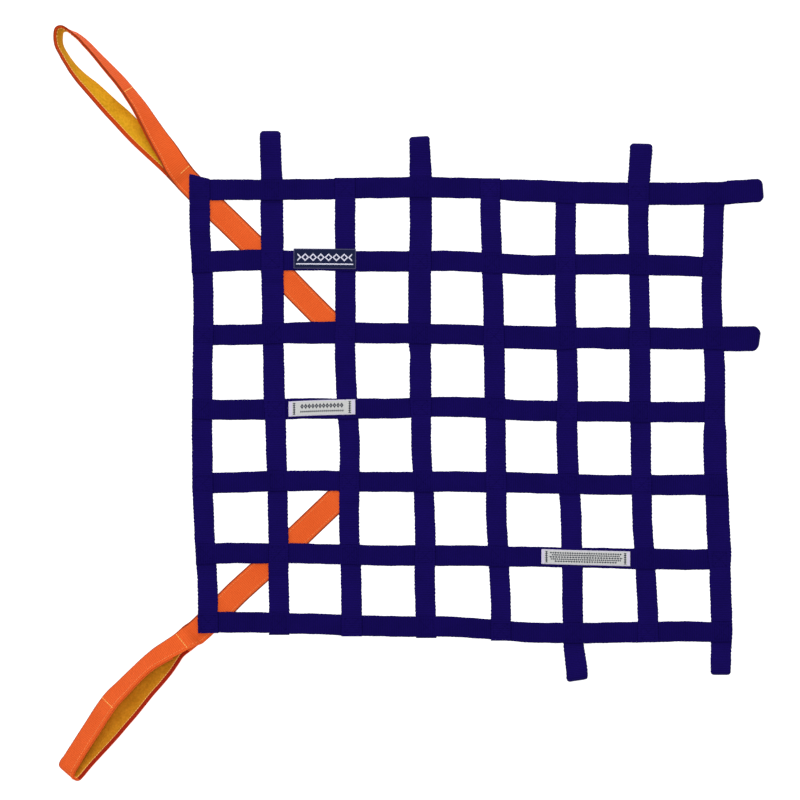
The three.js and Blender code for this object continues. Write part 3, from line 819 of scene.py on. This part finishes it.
for v in range(1, len(VERTICALS) + 1):
    strap("vertical", v, navy)
for h in range(1, len(HORIZONTALS) + 1):
    strap("horizontal", h, navy_across)
print("navy webbing:", round(sum(lengths.values()) * MM, 2), "m in", len(lengths), "straps")

# %% [markdown]
# ## The orange straps
#
# Two orange straps run from the corners into the net, behind it, and two loops hang on at the
# corners. A loop doesn't lie flat: its webbing stands on edge and leans. Each row below gives a
# point of the edge that lies lowest, its height, the way the band leans in degrees and how much
# higher its other edge is. A curve that passes through all the rows joins them.

# %% Rows of the orange straps
ORANGE_WIDTH, ORANGE_THICK = 25.0, 1.5
LINING_LOW, LINING_HIGH, LINING_THICK, LINING_START = 0.4, 21.3, 1.0, 46.0
ROWS = {
    "diagonal_upper": [
        (349.0, 325.0, -0.15, 225, 0), (315.0, 291.0, -0.15, 225, 0),
        (279.9, 254.9, -0.15, 225, 0), (236.5, 212.0, -0.15, 225, 0),
        (227.0, 203.0, 0.75, 225, 0), (218.4, 194.3, 1.62, 225, 0),
        (206.8, 182.7, 1.65, 225, 0),
    ],
    "diagonal_lower": [
        (339.7, 479.2, -0.15, -45, 0), (304.0, 513.2, -0.15, -45, 0),
        (268.7, 546.9, -0.15, -45, 0), (228.0, 583.9, -0.15, -45, 0),
        (218.8, 593.1, 0.75, -45, 0), (209.6, 602.3, 1.62, -45, 0),
        (198.5, 613.4, 1.65, -45, 0),
    ],
    "loop_upper": [
        (206.4, 182.3, 1.65, 225, 0), (195.3, 170.9, 1.62, 224, 0),
        (190.0, 164.4, 3.6, 222, 3), (185.4, 158.3, 4.6, 219, 6),
        (176.5, 145.6, 2.6, 217, 12), (166.1, 132.5, 1.4, 217, 16),
        (155.8, 118.4, 0.9, 216, 19), (145.8, 104.4, 0.6, 216, 21),
        (135.0, 91.2, 0.4, 218, 22.3), (123.9, 78.2, 0.3, 223, 23),
        (111.9, 66.1, 0.2, 225, 23.6), (99.8, 54.2, 0.2, 226, 24.2),
        (87.8, 42.1, 0.2, 227, 24.4), (76.9, 34.0, 0.2, 205, 24.7),
        (70.4, 32.2, 0.2, 150, 24.75), (66.2, 31.0, 0.2, 140, 24.6),
        (63.2, 32.3, 0.3, 150, 24.3), (62.4, 36.2, 0.4, 175, 24.2),
        (62.8, 44.9, 0.5, 196, 24.3), (68.6, 55.7, 0.5, 209, 24.2),
        (76.6, 66.1, 0.6, 215, 23.7), (86.6, 75.4, 0.7, 218, 22.5),
        (97.8, 83.8, 0.9, 220, 20.6), (108.4, 93.2, 1.1, 220, 19.1),
        (118.5, 102.3, 1.2, 221, 17.5), (128.9, 111.2, 1.3, 223, 15.5),
        (138.7, 120.7, 1.4, 224, 14.4), (148.7, 129.9, 1.45, 225, 13.1),
        (159.1, 138.8, 1.5, 226, 12), (170.0, 147.1, 1.6, 227, 9),
        (181.0, 156.2, 1.65, 226, 5.5), (191.0, 166.2, 1.65, 225, 2),
        (198.5, 174.2, 1.65, 225, 0), (216.5, 192.4, 1.65, 225, 0),
    ],
    "loop_lower": [
        (198.1, 613.8, 1.65, -45, 0), (187.0, 624.1, 1.65, -45, 0),
        (181.0, 628.8, 3.8, -47, 10), (174.8, 634.3, 4.8, -49, 14.6),
        (164.8, 641.2, 3.6, -52, 16.6), (154.5, 648.2, 2.0, -53, 18),
        (142.5, 658.4, 1.0, -48, 20), (130.4, 669.9, 0.8, -46, 20.2),
        (118.4, 681.4, 0.8, -45, 19.5), (106.1, 693.2, 0.8, -41, 18.6),
        (96.2, 706.4, 0.8, -36, 18.2), (87.2, 720.5, 0.8, -33, 18.2),
        (78.2, 734.5, 0.8, -33, 18.3), (69.2, 748.5, 0.8, -33, 18.2),
        (64.1, 756.3, 0.8, -34, 17.6), (60.8, 760.7, 0.8, -35, 16.8),
        (59.7, 764.4, 0.8, -36, 16.2), (61.6, 767.0, 0.9, -36, 16.0),
        (64.8, 767.4, 1.0, -36, 16.0), (68.4, 764.2, 1.1, -37, 16.0),
        (75.5, 755.4, 1.2, -40, 15.8), (84.7, 744.2, 1.3, -43, 15),
        (93.6, 733.4, 1.4, -43, 13.8), (102.6, 722.6, 1.4, -42, 12.8),
        (111.0, 711.6, 1.45, -41, 11.4), (119.7, 701.1, 1.45, -41, 10.8),
        (127.8, 690.9, 1.45, -39, 10.6), (136.2, 679.7, 1.45, -40, 9.4),
        (145.8, 669.2, 1.45, -41, 10.0), (154.8, 658.4, 1.45, -41, 10.2),
        (162.6, 648.3, 1.5, -43, 11.5), (169.3, 639.9, 1.5, -46, 12.6),
        (176.1, 633.0, 1.55, -47, 10), (183.0, 626.0, 1.6, -46, 5.5),
        (190.3, 621.2, 1.65, -45, 0), (208.2, 603.7, 1.65, -45, 0),
    ],
}
print("orange rows:", {name: len(rows) for name, rows in ROWS.items()})

# %% [markdown]
# ## From rows to frames
#
# A curve through the rows gives the low edge. A frame at each of its points says which way the
# band runs, which way its width goes and which side is out. Everything on the orange straps,
# from the lining to the last stitch, is placed by these frames.


# %% Curve and frames
def curve_through(points, per_row):
    """A centripetal Catmull-Rom curve: between two points a cubic whose slopes come from the
    neighbours, weighted by the square root of the distances."""
    points = np.asarray(points, float)
    before = np.concatenate([[2 * points[0] - points[1]], points[:-2]])
    after = np.concatenate([points[2:], [2 * points[-1] - points[-2]]])
    start, stop = points[:-1], points[1:]

    def span(a, b):
        return np.maximum(np.sum((a - b) ** 2, axis=1) ** 0.25, 1e-4)[:, None]

    d0, d1, d2 = span(before, start), span(start, stop), span(stop, after)
    out = ((start - before) / d0 - (stop - before) / (d0 + d1) + (stop - start) / d1) * d1
    into = ((stop - start) / d1 - (after - start) / (d1 + d2) + (after - stop) / d2) * d1
    t = (np.arange(per_row) / per_row)[None, :, None]
    a, b = start[:, None], stop[:, None]
    p, q = out[:, None], into[:, None]
    body = a + p * t + (3 * b - 3 * a - 2 * p - q) * t ** 2 + (2 * a - 2 * b + p + q) * t ** 3
    return np.concatenate([body.reshape(-1, points.shape[1]), points[-1:]])


def unit(vectors):
    """Each vector over its own length."""
    return vectors / np.linalg.norm(vectors, axis=1, keepdims=True)


CURVE_STEPS = 24


def band_frames(rows, step):
    """Low edge, way across and outer side of a band at even steps. The way across leans by
    its rise over the width, and the outer side is the cross product of path and way across.
    A band that would reach under the floor is lifted on to it."""
    rows = np.array(rows, float)
    low = curve_through(place(rows[:, 0], rows[:, 1], rows[:, 2]), CURVE_STEPS)
    lean = curve_through(rows[:, 3:], CURVE_STEPS)
    ahead = unit(np.gradient(low, axis=0))
    angle = np.radians(lean[:, 0])
    rise = np.clip(lean[:, 1], 0, ORANGE_WIDTH)
    level = np.sqrt(ORANGE_WIDTH ** 2 - rise ** 2)
    across = unit(np.stack([level * np.cos(angle), level * np.sin(angle), rise], -1))
    outer = unit(np.cross(ahead, across))
    off = np.array([GAP / 2, GAP / 2 + ORANGE_THICK])
    heights = [low[:, 2] + across[:, 2] * wide + outer[:, 2] * far
               for wide in (0, ORANGE_WIDTH) for far in off]
    low[:, 2] += np.maximum(0, -np.min(heights, axis=0))
    length = np.concatenate([[0], np.cumsum(np.linalg.norm(np.diff(low, axis=0), axis=1))])
    at = np.linspace(0, length[-1], int(np.ceil(length[-1] / step)) + 1)
    even = [np.stack([np.interp(at, length, part[:, k]) for k in range(3)], -1)
            for part in (low, across, outer)]
    return at, even[0], unit(even[1]), unit(even[2])


frames = {name: band_frames(rows, RIB / 3) for name, rows in ROWS.items()}
print("orange lengths:", {name: round(f[0][-1], 1) for name, f in frames.items()}, "mm")

# %% [markdown]
# ## The orange bands
#
# The orange webbing is wider and smoother than the navy one, so the same ribbon serves, with
# shallower ribs. It stands off its frames on the outer side, half a gap away, which leaves the
# inner side for the lining.

# %% Orange bands
for name, (along, low, across, outer) in frames.items():
    middle = low + across * (ORANGE_WIDTH / 2) + outer * (GAP / 2 + ORANGE_THICK / 2)
    half = np.full(len(along), ORANGE_WIDTH / 2)
    finish = orange_lower if name == "loop_lower" else orange
    made = ribbon(f"band_{name}", middle, across, outer, along, half, ORANGE_THICK, 0.05, finish)
    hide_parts(name)
    along[-1] * MM
print("orange bands:", len(frames))

# %% [markdown]
# ## Their lining
#
# A soft ochre cloth lies on the inner side of the two loops, where the hand pulls. Solidify on
# the orange band would give a layer there too, but one as wide and as long. A ribbon of its own
# starts at the low edge, leaves room for a hem at the high one, and stops short of both ends,
# where the loop is sewn down.

# %% Lining
for side in ("upper", "lower"):
    along, low, across, outer = frames[f"loop_{side}"]
    keep = (along >= LINING_START) & (along <= along[-1] - LINING_START)
    along, low, across, outer = along[keep], low[keep], across[keep], outer[keep]
    lining_width = LINING_HIGH - LINING_LOW
    middle = (low + across * (LINING_LOW + lining_width / 2)
              - outer * (GAP / 2 + LINING_THICK / 2))
    half = np.full(len(along), lining_width / 2)
    # The lower loop takes the darker copy of the lining, painted shade.
    made = ribbon(f"inner_{side}", middle, across, outer, along - along[0], half,
                  LINING_THICK, 0.0, ochre if side == "upper" else ochre_shaded)
    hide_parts(f"lining_{side}")
    (along[-1] - along[0]) * MM
print("two linings")

# %% [markdown]
# ## Hems of the loops
#
# The orange webbing is folded over the high edge of the lining and sewn down. The fold is a
# narrow strip of its own here, level with the lining. Its darker orange is painted shade on that
# side of the webbing. On the lower loop the way out keeps the band's own orange, and the way
# back is darker still, deeper painted shade.

# %% Hems
HEM_WIDTH, HEM_LAP, HEM_RIBS = 3.6, 0.1, 0.04
FAR_END = {"upper": 205.0, "lower": 215.0}
# Painted shade: the hems take the darker oranges, and the way back of the lower loop the
# darkest.
for side, finishes in (("upper", (hem, hem)), ("lower", (orange_lower, hem_shaded))):
    for part, finish in zip(("out", "back"), finishes):
        along, low, across, outer = frames[f"loop_{side}"]
        start = LINING_START if part == "out" else FAR_END[side]
        stop = FAR_END[side] if part == "out" else along[-1] - LINING_START
        keep = (along >= start) & (along <= stop)
        along, low, across, outer = along[keep], low[keep], across[keep], outer[keep]
        middle = low + across * (ORANGE_WIDTH - HEM_WIDTH / 2) - outer * (LINING_THICK / 2)
        half = np.full(len(along), HEM_WIDTH / 2 + HEM_LAP)
        made = ribbon(f"hem_{side}_{part}", middle, across, outer, along - along[0], half,
                      LINING_THICK + GAP, HEM_RIBS, finish)
        run = (along[-1] - along[0]) * MM
        HEM_WIDTH * MM * run
print("hems", HEM_WIDTH, "mm wide, out to", FAR_END, "mm and back")

# %% [markdown]
# ## What is woven into the labels
#
# Three woven labels are sewn on. What they show stays general: an edge, rows of diamonds, and a
# chain of them at both ends. An image would do it in one node, but sums on the place across and
# along the label stay sharp at any size.

# %% Label finish
EDGE, CHAIN_STEP, CHAIN_SIZE = 0.9, 2.2, 1.4


def label_finish(name, ground, edge, mark, length, depth, rows, ends):
    """Flat colour areas from the place on the label: an edge, rows of diamonds, and a chain of
    them at both ends, with a fine weave over all. A row gives its place across, the half
    height and the length of a diamond, where the diamond starts and stops as a share of its
    size, and how far the row reaches from the middle."""
    finish = Finish(name, 0.8, 0.06)
    across, along = finish.lay()
    from_middle = (along - length / 2).size()
    from_end = length / 2 - from_middle
    from_side = depth / 2 - across.size()
    inside = from_end.over(max(EDGE, ends - 2)) * from_side.over(EDGE)
    colour = finish.mix(1 - inside, ground, edge)
    marks = from_end * 0
    for place_of, half, repeat, hollow, full, reach in rows:
        beside = (across - place_of).size()
        shape = ((along - length / 2).within(repeat) - repeat / 2).size() / (repeat / 2)
        shape = shape + beside / half
        marks = marks + (shape.over(hollow) * shape.under(full) * beside.under(half)
                         * from_middle.under(reach))
    if ends:
        beside = (across.within(CHAIN_STEP) - CHAIN_STEP / 2).size()
        chain = (beside + (from_end - ends).size()).under(CHAIN_SIZE)
        marks = marks + chain * from_side.over(EDGE + 0.8)
    weave = along.wave(0.5) * 0.5 + across.wave(0.5) * 0.5
    fibre = finish.noise(1200.0, 2.0)
    colour = finish.mix(marks.over(0.5), colour, mark)
    dull = finish.mix(weave * 0.25 + fibre * 0.3, (1, 1, 1, 1), (0.68, 0.68, 0.72, 1))
    shaded = finish.add("ShaderNodeMix", {"data_type": "RGBA", "blend_type": "MULTIPLY"},
                        {0: 1.0, 6: colour, 7: dull}, out=2)
    return finish.paint(shaded, None, weave + fibre * 0.4, 0.00008)


# %% [markdown]
# ## The label strips
#
# Each label is a thin strip that follows the strap under it and climbs over the vertical ones
# that lie on that strap. The same plateaus that lift the straps lift it, one layer higher, so
# that nothing has to be dropped on to the net by a simulation.

# %% Label strips
LABEL_THICK, LABEL_EASE = 1.0, 12.0
# Labels: horizontal strap, from, to, how far below its middle, depth, turn.
LABELS = {
    "label_navy": (2, 293.6, 356.0, -2.2, 20.2, -0.4),
    "label_pale_left": (4, 288.6, 355.3, -0.6, 15.2, -2.2),
    "label_pale_right": (6, 541.4, 630.0, -0.4, 14.8, 0.6),
}
PALE = (tint(204, 205, 203), tint(212, 206, 226), tint(66, 68, 78))
LABEL_LOOKS = {
    "label_navy": ((tint(26, 32, 64), tint(78, 76, 110), tint(220, 220, 236)),
                   [(-1.4, 3.9, 7.8, 0.6, 1.02, 27.3), (5.3, 0.6, 2.0, -1, 2, 28.5)], 0.0),
    "label_pale_left": (PALE, [(-2.0, 2.7, 3.6, 0.25, 1.0, 21.6),
                               (3.3, 1.3, 2.0, -1, 0.95, 21.6)], 5.6),
    "label_pale_right": (PALE, [(-4.2, 1.0, 2.4, -1, 1, 36), (-2.1, 1.0, 1.8, -1, 1, 34),
                                (0.0, 1.0, 2.8, -1, 1, 37), (2.1, 1.0, 2.1, -1, 1, 35),
                                (4.2, 1.0, 2.6, -1, 1, 31)], 5.0),
}


def label(name, h, start, stop, shift, depth, turn):
    """A strip on a horizontal strap, over the vertical ones that lie on it. Its height is the
    strap's own and one layer, or that of a plateau two layers high where that is more."""
    rises = rises_of("horizontal", h)
    bumps = [(crossing(v, h)[0] - LEVEL, crossing(v, h)[0] + LEVEL, 2 * LAYER)
             for v in range(1, len(VERTICALS) + 1)
             if vertical_over(v, h) and start < crossing(v, h)[0] < stop]
    at = np.linspace(start, stop, int((stop - start) / 0.5) + 1)
    height = np.maximum(height_over(rises, at) + LAYER, height_over(bumps, at, LABEL_EASE))
    share = (at - (start + stop) / 2) / (stop - start)
    centre = middle_of("horizontal", h, at) + shift + turn * share
    middle = place(at, centre, height + LABEL_THICK / 2)
    climb = np.gradient(height, at)
    zero = np.zeros_like(at)
    across = np.stack([zero, zero - 1, zero], -1)
    outer = unit(np.stack([-climb, zero, zero + 1], -1))
    length = stop - start
    tints, rows, ends = LABEL_LOOKS[name]
    finish = label_finish(name, *tints, length, depth, rows, ends)
    made = ribbon(f"woven_{name}", middle, across, outer, at - start, zero + depth / 2,
                  LABEL_THICK, 0.0, finish)
    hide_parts(name)
    "label_navy" if name == "label_navy" else "label_pale"
    depth * MM
    length * MM


for name, row in LABELS.items():
    label(name, *row)
print("labels:", list(LABELS))

# %% [markdown]
# ## Stitches
#
# A stitch is a short arc of thread that dips into the cloth at both ends. One small capsule is
# worked out once, and all stitches of a seam are copies of it, set into the frame of the cloth
# at their places and joined into one mesh.

# %% Stitch mesh
STITCH_RINGS, STITCH_SIDES = 5, 6
ring_at = np.linspace(-1, 1, STITCH_RINGS)
ring_turn = np.arange(STITCH_SIDES) * 2 * np.pi / STITCH_SIDES


def stitches(name, spots, ahead, outer, length, thick, material):
    """Capsules: along the seam by the ring's place, round by the cosine and sine of the turn
    times a radius that shrinks to the ends, and outwards by an arc."""
    radius = thick / 2 * np.sqrt(1 - 0.8 * ring_at ** 4)
    arc = thick * 0.35 * (1 - ring_at ** 2)
    run = np.repeat(ring_at * length / 2, STITCH_SIDES)
    side = (radius[:, None] * np.cos(ring_turn)).ravel()
    up = (radius[:, None] * np.sin(ring_turn) + arc[:, None]).ravel()
    beside = np.cross(outer, ahead)
    points = (spots[:, None] + ahead[:, None] * run[None, :, None]
              + beside[:, None] * side[None, :, None] + outer[:, None] * up[None, :, None])
    one = np.array(closed_grid(STITCH_RINGS, STITCH_SIDES)[:-2])
    size = STITCH_RINGS * STITCH_SIDES
    shift = np.arange(len(spots))[:, None, None] * size
    quads = (one[None] + shift).reshape(-1, 4).tolist()
    caps = [np.arange(STITCH_SIDES)[::-1], np.arange(size - STITCH_SIDES, size)]
    ends = [(cap[None] + shift[:, 0]).tolist() for cap in caps]
    lay = np.stack([np.tile(side, len(spots)), np.tile(run, len(spots))], -1)
    made = make_mesh(name, points.reshape(-1, 3), quads + ends[0] + ends[1], lay, material)


print("one stitch has", STITCH_RINGS * STITCH_SIDES, "points")

# %% [markdown]
# ## Seams on the orange straps
#
# A row of orange thread runs near the edges of the orange webbing. Where a second layer begins,
# a row of gold thread crosses it, and the same gold thread holds the hems of the loops.

# %% Seams on orange
SEAM_LENGTH, SEAM_PITCH, GOLD_PITCH = 2.8, 3.1, 2.9
SEAM_INSET, SEAM_START, HEM_SEAM_START = 3.5, 4, 48


def seam_on(band, start, stop, wide_start, wide_stop, outside=True, pitch=SEAM_PITCH):
    """Places, directions and outer sides of the stitches on a line over a band."""
    along, low, across, outer = band
    length = math.hypot(stop - start, wide_stop - wide_start)
    count = max(2, int(length / pitch))
    share = (np.arange(count) + 0.5) / count
    at = start + (stop - start) * share
    wide = wide_start + (wide_stop - wide_start) * share

    def read(part, where):
        return np.stack([np.interp(where, along, part[:, k]) for k in range(3)], -1)

    face = read(outer, at) * (1 if outside else -1)
    off = GAP / 2 + ORANGE_THICK if outside else -GAP / 2 - LINING_THICK
    spot = read(low, at) + read(across, at) * wide[:, None] + read(outer, at) * off
    ahead = unit(read(low, at + 0.5) - read(low, at - 0.5))
    turned = ahead * (stop - start) + read(across, at) * (wide_stop - wide_start)
    return spot, unit(turned), unit(face)


HIGH_SEAM = ORANGE_WIDTH - SEAM_INSET
# Seams across a loop: how far along it, and how far over it they reach from CROSS_FROM.
CROSS_FROM = 1.6
CROSS_SEAMS = {"loop_upper": ((24, 13.5), (121, 23.4)), "loop_lower": ((30, 23.4), (128, 23.4))}
HIGH_SEAM_END = {"loop_upper": 121, "loop_lower": 215}


def sew(name, seams, thick, material):
    """One mesh from several seams."""
    spots, ahead, outer = (np.concatenate([seam[k] for seam in seams]) for k in range(3))
    stitches(name, spots, ahead, outer, SEAM_LENGTH, thick, material)
    print(name, len(spots), "stitches")


flat_seams, long_seams, bright_seams = [], [], []
for name, band in frames.items():
    end = band[0][-1]
    if name.startswith("diagonal"):
        for wide in (SEAM_INSET, HIGH_SEAM):
            flat_seams.append(seam_on(band, SEAM_START, end - SEAM_START, wide, wide))
        continue
    long_seams.append(seam_on(band, SEAM_START, HIGH_SEAM_END[name], HIGH_SEAM, HIGH_SEAM))
    for at, reach in CROSS_SEAMS[name]:
        bright_seams.append(seam_on(band, at, at, CROSS_FROM, reach, pitch=GOLD_PITCH))
    wide = ORANGE_WIDTH - HEM_WIDTH - HEM_LAP
    bright_seams.append(seam_on(band, HEM_SEAM_START, end - HEM_SEAM_START, wide, wide,
                                outside=False, pitch=GOLD_PITCH))
sew("seam_diagonal", flat_seams, 0.5, orange_thread)
sew("seam_loop", long_seams, 0.6, orange_thread)
sew("seam_gold", bright_seams, 0.8, gold_thread)

# %% [markdown]
# ## Navy seams at the crossings
#
# Every crossing is sewn with a square and a cross in thread of the webbing's own colour. It
# hardly shows from a distance, but it is what holds the net together.

# %% Navy seams
BOX_HALF, NAVY_PITCH, NAVY_LENGTH, NAVY_THICK = 7.2, 2.6, 2.2, 0.35
corners = SQUARE * BOX_HALF
LINES = [(corners[k], corners[(k + 1) % 4]) for k in range(4)] + [
    (corners[0], corners[2]), (corners[1], corners[3])]
spots, ahead = [], []
for v in range(1, len(VERTICALS) + 1):
    for h in range(1, len(HORIZONTALS) + 1):
        across, down = crossing(v, h)
        kind, index, at = ("vertical", v, down) if vertical_over(v, h) else (
            "horizontal", h, across)
        top = height_over(rises_of(kind, index), np.array([at]))[0] + WEB_THICK
        for start, stop in LINES:
            count = int(np.linalg.norm(stop - start) / NAVY_PITCH)
            share = ((np.arange(count) + 0.5) / count)[:, None]
            flat = start + (stop - start) * share
            spots.append(place(across + flat[:, 0], down - flat[:, 1], top))
            way = (stop - start) / np.linalg.norm(stop - start)
            ahead.append(np.tile([way[0], way[1], 0.0], (count, 1)))
spots, ahead = np.concatenate(spots), np.concatenate(ahead)
outer = np.tile([0.0, 0.0, 1.0], (len(spots), 1))
stitches("seam_navy", spots, ahead, outer, NAVY_LENGTH, NAVY_THICK, navy_thread)
print("navy stitches:", len(spots))
